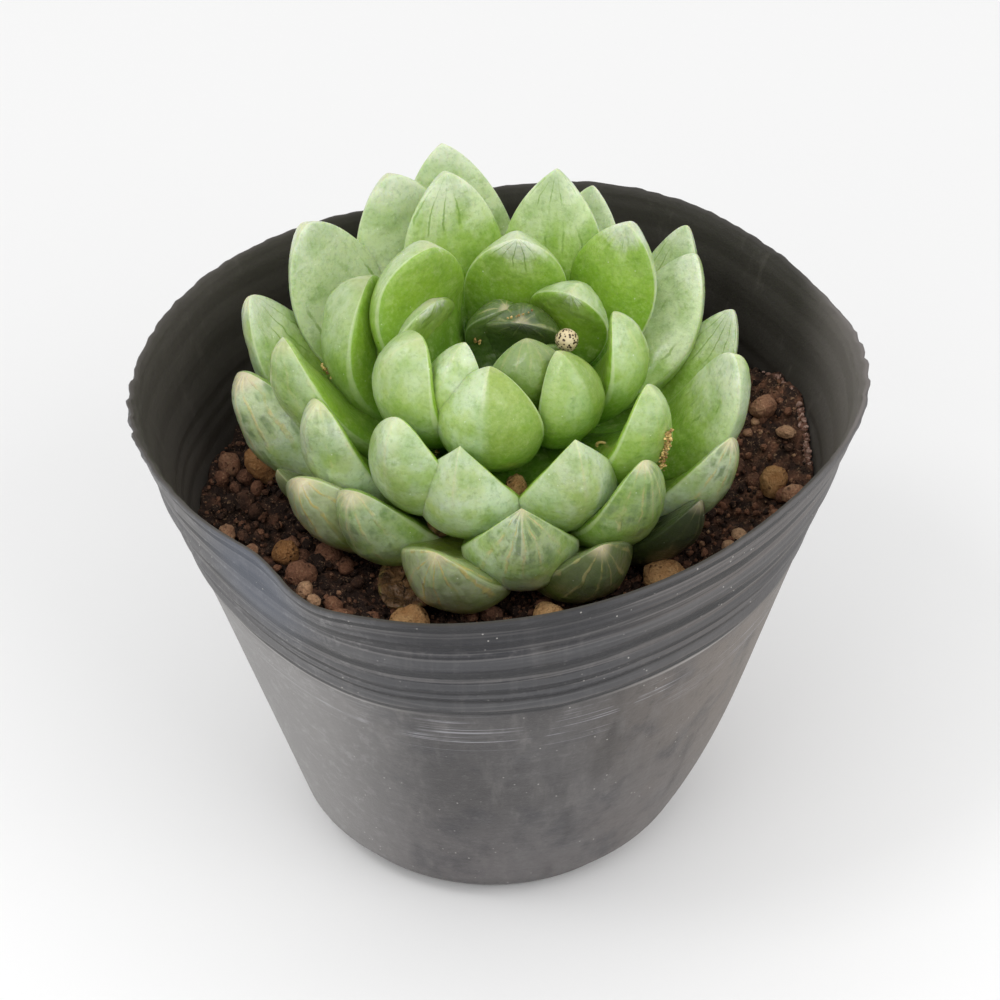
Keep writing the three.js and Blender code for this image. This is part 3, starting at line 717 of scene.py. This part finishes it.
def lump(points, rng, size, knobs, flat=0.85):
    """An irregular granule: the ball's points bent, stretched and turned."""
    seed = int(rng.integers(1e6))
    knobbly = lumpy(points, 1.9, seed)[:, None] + 0.3 * lumpy(points, 0.6, seed + 1)[:, None]
    shape = points * (1 + knobs * knobbly)
    shape = shape * (rng.uniform(0.85, 1.2), rng.uniform(0.8, 1.0), flat) * size / 2
    turn = Matrix.Rotation(rng.uniform(0, 6.3), 3, Vector(rng.normal(size=3)).normalized())
    return shape @ np.array(turn).T


def gather(parts):
    """Several (points, faces, tone) as one."""
    points, faces, tones = [], [], []
    start = 0
    for part_points, part_faces, tone in parts:
        points.append(part_points)
        faces.append(part_faces + start)
        tones.append(np.full(len(part_points), tone))
        start += len(part_points)
    return np.concatenate(points), np.concatenate(faces).tolist(), np.concatenate(tones)


def add_loose(name, parts, material):
    """Loose bits of the mix as one piece that stands for no node of its own."""
    points, faces, tone = gather(parts)
    add_piece(name, points, faces, material, (), "potting_mix", tone=tone)


def add_soil(material):
    edge = pot_radius(SOIL_LEVEL) - WALL - SOIL_GAP
    radii = np.linspace(0.02, 1, SOIL_RINGS) * edge
    turns = around_turns(SOIL_AROUND)
    x = np.outer(radii, np.cos(turns)).ravel()
    y = np.outer(radii, np.sin(turns)).ravel()
    z = soil_height(x, y)
    # the surface reaches the wall at its own height there, and it is uneven
    scale = 1 + ((pot_radius(z) - WALL - SOIL_GAP) / edge - 1) * (np.hypot(x, y) / edge) ** 3
    top = squeeze(np.stack((x * scale, y * scale, z), 1))
    top[:, 2] += 0.55 * lumpy(top, 5.5, seed=21) + 0.35 * lumpy(top, 1.8, seed=22) - 0.35
    rows = [top]
    lower = [(low, pot_radius(low) - WALL - SOIL_GAP) for low in (40, 25, 8)]
    lower.append((RECESS + WALL + 0.4, pot_radius(0) - 8))
    for low, radius in lower:
        ring = np.stack((radius * np.cos(turns), radius * np.sin(turns), np.full(SOIL_AROUND, low)), 1)
        rows.append(squeeze(ring))
    points = np.concatenate(rows)
    faces = closed_faces(len(points) // SOIL_AROUND, SOIL_AROUND)
    tone = 0.13 + 0.14 * lumpy(points, 3, seed=23) + 0.001 * points[:, 0]
    add_piece("soil_bed", points, faces, material, ("potting_soil",), "potting_mix", tone=tone)


def scatter(rng, count, sizes, tones, knobs, shape):
    """Crumbs on the soil between the plant and the wall, as gather() takes them."""
    points, faces = shape
    made = []
    for _ in range(count):
        share = math.sqrt(rng.uniform(CRUMBS_FROM ** 2, 1))
        azimuth = rng.uniform(-math.pi, math.pi)
        size = sizes[0] + (sizes[1] - sizes[0]) * rng.random() ** 2
        distance = CRUMBS_REACH * share
        z = float(soil_height(distance * math.cos(azimuth), distance * math.sin(azimuth)))
        spot = inside_pot(azimuth, share * (float(pot_radius(z)) - WALL - size * 0.55), z)
        spot[2] += size * 0.3 * rng.uniform(0.2, 1.0)
        tone = float(np.clip(rng.normal(*tones) + 0.06 * math.cos(azimuth), 0.02, 0.98))
        made.append((lump(points, rng, size, knobs) + spot, faces, tone))
    return made


def add_crumbs(material):
    rng = np.random.default_rng(11)
    parts = scatter(rng, 4600, (0.3, 1.3), (0.19, 0.21), 0.3, ball(1))
    parts += scatter(rng, 330, (1.2, 2.8), (0.2, 0.2), 0.24, ball(2))
    add_loose("soil_crumbs", parts, material)


def add_stones(material):
    rng = np.random.default_rng(31)
    points, faces = ball(4)
    parts = []
    for azimuth, distance, size, tone, stand in STONES:
        turn = math.radians(azimuth)
        z = float(soil_height(distance * math.cos(turn), distance * math.sin(turn)))
        wall = inside_pot(turn, float(pot_radius(z)) - WALL, z)
        distance = min(distance, math.hypot(wall[0], wall[1]) - size * 0.65)
        x, y = distance * math.cos(turn), distance * math.sin(turn)
        spot = np.array((x, y, float(soil_height(x, y)) + size * (stand - 0.35)))
        parts.append((lump(points, rng, size, 0.13) + spot, faces, tone))
    add_loose("soil_lumps", parts, material)


def add_crust(material):
    """A thin raised line of crust along the wall, made of small flat crumbs."""
    rng = np.random.default_rng(17)
    points, faces = ball(2)
    parts = []
    turns = np.radians(np.linspace(CRUST[0][0], CRUST[-1][0], CRUST_CRUMBS))
    lifts = np.interp(-turns, [-math.radians(azimuth) for azimuth, _ in CRUST], [lift for _, lift in CRUST])
    for turn, lift in zip(turns, lifts):
        size = rng.uniform(0.35, 0.95)
        z = SOIL_LEVEL + lift + rng.normal(0, 0.35)
        radius = float(pot_radius(z)) - WALL - 0.35
        spot = inside_pot(turn + rng.normal(0, 0.004), radius, z)
        parts.append((lump(points, rng, size, 0.2, 0.6) + spot, faces, float(rng.uniform(0.25, 1.0))))
    add_loose("soil_crust", parts, material)


def add_granules(material):
    rng = np.random.default_rng(5)
    points, faces = ball(5)
    for number, (azimuth, distance, size) in enumerate(GRANULES):
        turn = math.radians(azimuth)
        x, y = distance * math.cos(turn), distance * math.sin(turn)
        on_leaves = number == len(GRANULES) - 1
        z = GRANULE_ON_LEAVES if on_leaves else float(soil_height(x, y)) + size * 0.28
        shape = lump(points, rng, size, 0.1) + (x, y, z)
        tone = np.full(len(shape), GRANULE_TONES[number])
        add_piece(f"granule_{number + 1}", shape, faces.tolist(), material, (f"clay_granule_{number + 1}",),
                  "baked_clay", tone=tone)


# ---------------- plant

# How the leaves look, for a whole whorl and for the leaves that differ from it: how strong the back's
# window is and where along the leaf it starts (low on some leaves, whose paleness is then partly painted
# sheen from the left), where the inner face's window starts, veins, painted shade, olive age, and how
# strongly painted shade keeps the back yellow-green on one side of the keel (+ the one on the leaf's x side).
LOOK_KEYS = ("window", "start", "inside", "veins", "shade", "olive", "shaded_facet")
WHORL_LOOKS = {
    "heart_leaf": (0.3, 0.5, 0.8, 0.2, 0.3, 0, 0),
    "inner_leaf": (0.8, 0.5, 0.75, 0, 0, 0, 0),
    "middle_leaf": (0.9, 0.45, 0.8, 0.05, 0, 0, 0),
    "outer_leaf": (0.9, 0.45, 0.76, 0.3, 0, 0, 0),
    "lowest_leaf": (0.4, 0.5, 0.8, 0.7, 0.25, 0.4, 0),
    "withered_leaf": (0, 0, 1, 0, 0, 1, 0),
}
LOOKS = {
    "heart_leaf_01": (0.1, 0.5, 1, 0.8, 0.68, 0, 0),
    "heart_leaf_02": (0.15, 0.55, 1, 0.3, 0.3, 0.25, 0.5),
    "heart_leaf_03": (0.3, 0.5, 0.8, 0.6, 0.8, 0, 0),
    "heart_leaf_04": (0.15, 0.5, 0.8, 0.2, 0.5, 0, 0),
    "inner_leaf_01": (0.7, 0.35, 1, 0, 0, 0, 1),
    "inner_leaf_02": (0.4, 0.45, 1, 0.1, 0.08, 0.06, 0.9),
    "inner_leaf_03": (0.8, 0.35, 0.92, 0.1, 0.03, 0, 0),
    "inner_leaf_04": (0.55, 0.5, 1, 0.2, 0.04, 0, 0),
    "inner_leaf_05": (0.8, 0.5, 0.84, 0, 0.1, 0, 0),
    "inner_leaf_06": (0.5, 0.6, 1, 0.1, 0.1, 0, 0),
    "inner_leaf_07": (0.35, 0.5, 0.95, 0.2, 0.16, 0, 0),
    "inner_leaf_08": (0.65, 0.4, 1, 0, 0.04, 0, 0.2),
    "middle_leaf_01": (1, 0.25, 1, 0, 0, 0, 0),
    "middle_leaf_02": (1, 0.35, 1, 0.05, 0, 0, -0.3),
    "middle_leaf_03": (0.4, 0.55, 1, 0.15, 0.04, 0, 0),
    "middle_leaf_04": (0.9, 0.45, 0.52, 0.05, 0, 0, 0),
    "middle_leaf_05": (0.9, 0.45, 0.86, 0.05, 0.04, 0, 0),
    "middle_leaf_06": (0.9, 0.45, 0.68, 0.05, 0, 0, 0),
    "middle_leaf_07": (0.9, 0.45, 0.72, 0.05, 0, 0, 0),
    "middle_leaf_08": (0.5, 0.5, 1.1, 0.1, 0.2, 0, 0),
    "middle_leaf_09": (0.45, 0.45, 1, 0.3, 0.16, 0, 0),
    "middle_leaf_10": (0.75, 0.4, 1, 0.05, 0.02, 0, 0),
    "outer_leaf_01": (1, 0.35, 1, 0.9, 0, 0, 0.5),
    "outer_leaf_02": (0.45, 0.5, 1, 0.8, 0.1, 0, 0),
    "outer_leaf_03": (0.95, 0.3, 0.9, 1, 0.04, 0.05, 0),
    "outer_leaf_04": (0.8, 0.45, 0.7, 0.1, 0, 0, 0),
    "outer_leaf_06": (0.9, 0.4, 0.7, 0.3, 0, 0, 0),
    "outer_leaf_07": (0.9, 0.4, 0.4, 0.3, 0, 0, 0),
    "outer_leaf_08": (0.9, 0.4, 0.62, 0.3, 0, 0, 0),
    "outer_leaf_09": (0.9, 0.4, 0.22, 0.25, 0, 0, 0),
    "outer_leaf_10": (0.9, 0.4, 0.54, 0.3, 0, 0, 0),
    "outer_leaf_11": (0.9, 0.4, 0.74, 0.4, 0, 0, 0),
    "outer_leaf_12": (1, 0.25, 1, 1, 0.06, 0, 0),
    "outer_leaf_13": (0.9, 0.35, 1, 0.4, 0, 0, 0),
    "outer_leaf_14": (0.6, 0.4, 1, 0.8, 0.15, 0, 0),
    "lowest_leaf_01": (0.6, 0.45, 1, 1, 0, 0.7, 0),
    "lowest_leaf_02": (0.2, 0.5, 1, 1, 0.6, 0.6, 0),
    "lowest_leaf_03": (0.1, 0.5, 1, 0.3, 1, 1, 0),
    "lowest_leaf_04": (0.2, 0.5, 0.9, 0.5, 0.5, 0.4, 0),
    "lowest_leaf_09": (0.1, 0.5, 1, 0.2, 0.6, 1, 0),
    "lowest_leaf_10": (0.6, 0.4, 1, 1, 0, 0.75, 0),
}


def leaf_frame(azimuth, reach, tip, sweep, foot, bow, t):
    """The leaf's curved middle line at each t, the directions along and across it there, and its up."""
    turn = math.radians(azimuth)
    out = np.array((math.cos(turn), math.sin(turn), 0))
    side = np.array((-math.sin(turn), math.cos(turn), 0))
    start = PLANT + out * LEAF_START + (0, 0, foot)
    end = PLANT + out * reach + side * sweep + (0, 0, tip)
    inward = np.cross(end - start, side)
    middle = (start + end) / 2 - 2 * bow * inward / np.linalg.norm(inward)
    line = (1 - t) ** 2 * start + 2 * t * (1 - t) * middle + t ** 2 * end
    tangent = (1 - t) * (middle - start) + t * (end - middle)
    tangent /= np.linalg.norm(tangent, axis=1, keepdims=True)
    across = side - tangent * (tangent @ side)[:, None]
    across /= np.linalg.norm(across, axis=1, keepdims=True)
    return line, across, np.cross(tangent, across)


def leaf_points(whorl, leaf, wrinkled):
    """The leaf's skin from foot to tip, with its places in the leaf: t along, x across, y through."""
    _, foot, bow, thick, base, _ = whorl
    azimuth, reach, tip, width, sweep, roll, tip_power = (*leaf, *USUAL[len(leaf) - 4:])
    t = np.repeat(1 - (1 - np.linspace(0, 1, LEAF_ALONG)) ** 1.8, LEAF_AROUND)
    angle = np.tile(-around_turns(LEAF_AROUND), LEAF_ALONG)
    x, y = np.cos(angle), np.sin(angle)
    line, across, up = leaf_frame(azimuth, reach, tip, sweep, foot, bow, t[:, None])
    lean = (np.radians(roll) * smoothstep(0, 1, t))[:, None]
    across, up = across * np.cos(lean) + up * np.sin(lean), up * np.cos(lean) - across * np.sin(lean)

    # half the width grows to the widest place and closes in a point
    towards_tip = np.clip((t - WIDEST) / (1 - WIDEST), 0, 1)
    share = np.where(t < WIDEST, base + (1 - base) * np.sin(np.pi / 2 * t / WIDEST),
                     (1 - towards_tip ** 2.1) ** tip_power)
    depth = width / 2 * share ** 0.8 * thick
    # the back is round at the foot and keeled at the tip, the inner face is flatter
    keel = smoothstep(KEEL_START, 1, t)
    blunt = np.sqrt(x ** 2 + KEEL_BLUNT ** 2) - KEEL_BLUNT
    bluntest = math.sqrt(1 + KEEL_BLUNT ** 2) - KEEL_BLUNT
    ridge = np.clip(1 - (blunt / bluntest) ** (2 - 0.75 * keel), 0, 1)
    back = BACK_DEPTH * depth * (np.abs(y) * (1 - keel) + ridge ** 0.8 * keel)
    rise = np.where(y > 0, INNER_HEIGHT * depth * y, -back)
    points = line + across * (x * width / 2 * share)[:, None] + up * rise[:, None]

    # an uneven skin, most of all on a withered leaf, and none at the edges
    seed = int(abs(azimuth) * 7 + reach * 3 + tip)
    size, amount = (3.0, 0.5) if wrinkled else (7.0, 0.16)
    uneven = lumpy(points, size, seed) * amount + lumpy(points, 1.1, seed + 1) * amount * 0.25
    uneven *= np.minimum(share * 1.5, 1) * np.sign(y + 1e-9) * np.abs(y) ** 0.5
    return points + up * uneven[:, None], np.stack((t, x, y), 1)


def add_leaves():
    materials = {
        "heart_leaf": (leaf_material("leaf_heart", (0.2, 0.37, 0.045), 0.3), "leaf_young"),
        "inner_leaf": (leaf_material("leaf_inner", (0.27, 0.46, 0.035), 0.32), "leaf_young"),
        "middle_leaf": (leaf_material("leaf_middle", (0.31, 0.52, 0.045), 0.32), "leaf_middle"),
        "outer_leaf": (leaf_material("leaf_outer", (0.29, 0.48, 0.045), 0.34), "leaf_outer"),
        "lowest_leaf": (leaf_material("leaf_lowest", (0.2, 0.31, 0.045), 0.32), "leaf_lowest"),
        "withered_leaf": (withered_material(), "leaf_withered"),
    }
    faces = ring_faces(LEAF_ALONG, LEAF_AROUND)
    faces.append(tuple(range(LEAF_AROUND)))
    for whorl in WHORLS:
        kind = whorl[0]
        material, slot = materials[kind]
        for number, leaf in enumerate(whorl[-1]):
            node = f"{kind}_{number + 1:02d}"
            points, place = leaf_points(whorl, leaf, kind == "withered_leaf")
            look = dict(zip(LOOK_KEYS, LOOKS.get(node, WHORL_LOOKS[kind])))
            look["seed"] = (number * 0.37 + leaf[1] * 0.11) % 1
            look = {key: np.full(len(points), value) for key, value in look.items()}
            add_piece(f"{node}_skin", points, faces, material, (node,), slot, place=place, **look)


def add_stem():
    turns = around_turns(STEM_AROUND)
    profile = np.array(STEM_PROFILE, float)
    rings = []
    for z in np.linspace(profile[0, 1] + 0.2, profile[-1, 1] - 0.2, STEM_RINGS):
        radius = np.interp(z, profile[:, 1], profile[:, 0])
        ring = np.stack((radius * np.cos(turns), radius * np.sin(turns), np.full(STEM_AROUND, z)), 1)
        rings.append(ring + PLANT)
    points = np.concatenate(rings)
    points[:, :2] += 0.12 * lumpy(points, 1.6, seed=3)[:, None] * (points[:, :2] - PLANT[:2]) / 3.2
    faces = closed_faces(STEM_RINGS, STEM_AROUND)
    add_piece("stem_core", points, faces, stem_material(), ("stem",), "stem")


def add_prill():
    points, faces = ball(5)
    turn = math.radians(PRILL_AZIMUTH)
    centre = PLANT + (PRILL_DISTANCE * math.cos(turn), PRILL_DISTANCE * math.sin(turn), PRILL_HEIGHT)
    shape = points * PRILL_RADIUS * (1 + 0.03 * lumpy(points, 1.2, seed=8)[:, None]) + centre
    add_piece("prill_ball", shape, faces.tolist(), prill_material(), ("fertiliser_prill",), "prill")


def add_sand(material):
    rng = np.random.default_rng(8)
    points, faces = ball(2)
    parts = []
    for start, end, count, spread in SAND_LINES:
        for share in np.linspace(0, 1, count):
            spot = np.array(start) * (1 - share) + np.array(end) * share + rng.normal(0, spread, 3)
            grain = lump(points, rng, rng.uniform(0.22, 0.48), 0.25) + spot
            parts.append((grain, faces, float(rng.random())))
    add_loose("gold_sand", parts, material)


def add_glassy_ring(material):
    """The tiny glassy ring between two leaves, right of the middle."""
    turns = np.repeat(around_turns(RING_AROUND), RING_SECTION)
    angles = np.tile(around_turns(RING_SECTION), RING_AROUND)
    radius = GLASS_RADIUS + GLASS_THICKNESS * np.cos(angles)
    width = GLASS_THICKNESS * np.sin(angles)
    points = np.stack((radius * np.cos(turns), width, radius * np.sin(turns) * 0.8), 1) + GLASS_PLACE
    faces = []
    for i in range(RING_AROUND):
        for j in range(RING_SECTION):
            a = i * RING_SECTION
            b = (i + 1) % RING_AROUND * RING_SECTION
            beside = (j + 1) % RING_SECTION
            faces.append((a + j, a + beside, b + beside, b + j))
    add_piece("glassy_ring", points, faces, material, (), "potting_mix", tone=np.full(len(points), 0.8))


# ---------------- stage, in metres

FLOOR_HALF = 3.0
SKY_STRENGTH = 0.96
LIGHTS_AT = (0, 0, 0.05)
# Name, place, size and watts of each soft light.
LIGHTS = (
    ("window_left", (-0.7, -0.8, 0.9), (0.8, 0.6), 1.5),
    ("window_right", (0.7, -0.65, 0.9), (0.8, 0.6), 3.1),
    ("window_pane", (-0.55, -0.25, 1.1), (0.25, 0.3), 1.7),
)
CAMERA_DISTANCE = 0.6
CAMERA_ELEVATION = math.radians(41)
CAMERA_ROLL = math.radians(-1.5)
CAMERA_FOCAL = 4.584  # against the picture's width
CAMERA_AIM = (-0.2, 0, 47)  # local millimetres
SENSOR_WIDTH = 36.0


def add_floor():
    mesh = bpy.data.meshes.new("floor")
    low, high = -FLOOR_HALF, FLOOR_HALF
    mesh.from_pydata([(low, low, 0), (high, low, 0), (high, high, 0), (low, high, 0)], [], [(0, 1, 2, 3)])
    mesh.materials.append(floor_material())
    floor = bpy.data.objects.new("floor", mesh)
    bpy.context.scene.collection.objects.link(floor)


def add_lights():
    """A pale even sky, a window on either side and a smaller pane on the left."""
    world = bpy.data.worlds.new("studio")
    world.use_nodes = True
    background = world.node_tree.nodes["Background"]
    background.inputs["Color"].default_value = (1.0, 1.0, 1.0, 1)
    background.inputs["Strength"].default_value = SKY_STRENGTH
    bpy.context.scene.world = world
    for name, place, size, watts in LIGHTS:
        light = bpy.data.lights.new(name, "AREA")
        light.shape = "RECTANGLE"
        light.size, light.size_y = size
        light.energy = watts
        lamp = bpy.data.objects.new(name, light)
        lamp.location = place
        lamp.rotation_euler = (Vector(LIGHTS_AT) - Vector(place)).to_track_quat("-Z", "Y").to_euler()
        bpy.context.scene.collection.objects.link(lamp)


def add_camera():
    """600 mm from the pot's middle, 41 degrees up, rolled a little, as the photographer stood."""
    back = np.array((0, -math.cos(CAMERA_ELEVATION), math.sin(CAMERA_ELEVATION)))
    level = np.array((1.0, 0, 0))
    upright = np.cross(level, -back)
    right = math.cos(CAMERA_ROLL) * level + math.sin(CAMERA_ROLL) * upright
    up = -math.sin(CAMERA_ROLL) * level + math.cos(CAMERA_ROLL) * upright
    place = (np.array(CAMERA_AIM) + ORIGIN) * MM + back * CAMERA_DISTANCE
    data = bpy.data.cameras.new("camera")
    data.sensor_width = SENSOR_WIDTH
    data.lens = SENSOR_WIDTH * CAMERA_FOCAL
    data.clip_start = 0.01
    camera = bpy.data.objects.new("camera", data)
    camera.matrix_world = Matrix((
        (right[0], up[0], back[0], place[0]),
        (right[1], up[1], back[1], place[1]),
        (right[2], up[2], back[2], place[2]),
        (0, 0, 0, 1),
    ))
    bpy.context.scene.collection.objects.link(camera)
    bpy.context.scene.camera = camera


soil_mix = crumb_material("soil_mix", (0.035, 0.02, 0.015), (0.28, 0.13, 0.075), (0.8, 0.5, 0.29))
clay = crumb_material("baked_clay", (0.12, 0.05, 0.02), (0.4, 0.19, 0.07), (0.8, 0.52, 0.25), 1300)
crust = crumb_material("soil_crust", (0.1, 0.045, 0.03), (0.26, 0.13, 0.09), (0.6, 0.4, 0.33))
gold = sand_material()
add_pot()
add_soil(soil_mix)
add_crumbs(soil_mix)
add_stones(soil_mix)
add_crust(crust)
add_granules(clay)
add_leaves()
add_stem()
add_prill()
add_sand(gold)
add_glassy_ring(gold)
add_floor()
add_lights()
add_camera()
bpy.context.scene.view_settings.view_transform = "Standard"
